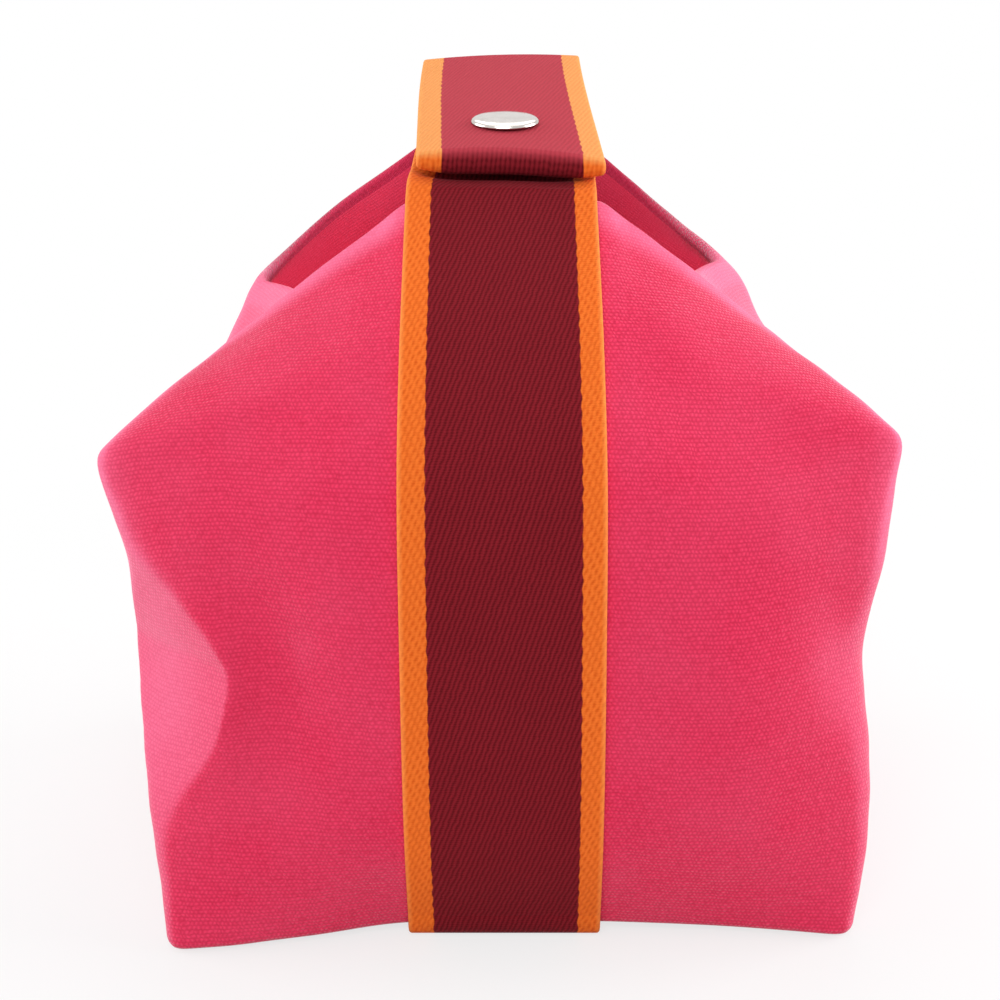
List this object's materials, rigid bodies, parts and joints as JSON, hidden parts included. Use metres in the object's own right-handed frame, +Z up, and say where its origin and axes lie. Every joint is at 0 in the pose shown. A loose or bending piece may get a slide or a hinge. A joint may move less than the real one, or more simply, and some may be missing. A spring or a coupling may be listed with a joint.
{
  "type": "travel pouch",
  "caption": "Soft canvas travel pouch with tucked-in sides, girthed by a striped webbing strap that arches over the mouth as a handle and closes with a press snap.",
  "frame": {"origin": "middle of the base on the surface that the pouch stands on", "axes": "+Z up, front towards -Y, +X to the right as seen from the front"},
  "size_m": [0.2006, 0.1686, 0.2225],
  "materials": {
    "canvas": "matt plain-weave cotton canvas",
    "canvas_facing": "matt plain-weave cotton canvas",
    "seam_tape": "matt woven tape",
    "webbing": "burgundy twill webbing with orange edges",
    "snap_metal": "polished plated brass"
  },
  "bodies": {
    "pouch": {"front_panel": "canvas", "back_panel": "canvas", "left_gusset": "canvas", "right_gusset": "canvas", "base_panel": "canvas", "front_rim_facing": "canvas_facing", "back_rim_facing": "canvas_facing", "left_rim_facing": "canvas_facing", "right_rim_facing": "canvas_facing", "seam_binding_front_left": "seam_tape", "seam_binding_front_right": "seam_tape", "seam_binding_back_left": "seam_tape", "seam_binding_back_right": "seam_tape", "base_seam_tape": "seam_tape", "front_strap": "webbing", "base_strap": "webbing", "back_strap": "webbing"},
    "tab": {"front_tab": "webbing", "snap_stud": "snap_metal", "snap_eyelet": "snap_metal"},
    "handle": {"handle_strap": "webbing"},
    "tip": {"handle_tip": "webbing", "snap_cap": "snap_metal", "snap_socket": "snap_metal"}
  },
  "joints": [
    {"name": "handle_swing", "type": "hinge", "parent": "pouch", "child": "handle", "pos_m": [0, 0.0784, 0.1974], "axis": [-1, 0, 0], "range_deg": [0, 150]},
    {"name": "tip_peel", "type": "hinge", "parent": "handle", "child": "tip", "pos_m": [0, 0.02027, 0.2111], "axis": [-1, 0, 0], "range_deg": [0, 80]},
    {"name": "tab_droop", "type": "hinge", "parent": "pouch", "child": "tab", "pos_m": [0, -0.0265, 0.18865], "axis": [-1, 0, 0], "range_deg": [0, 70]}
  ]
}
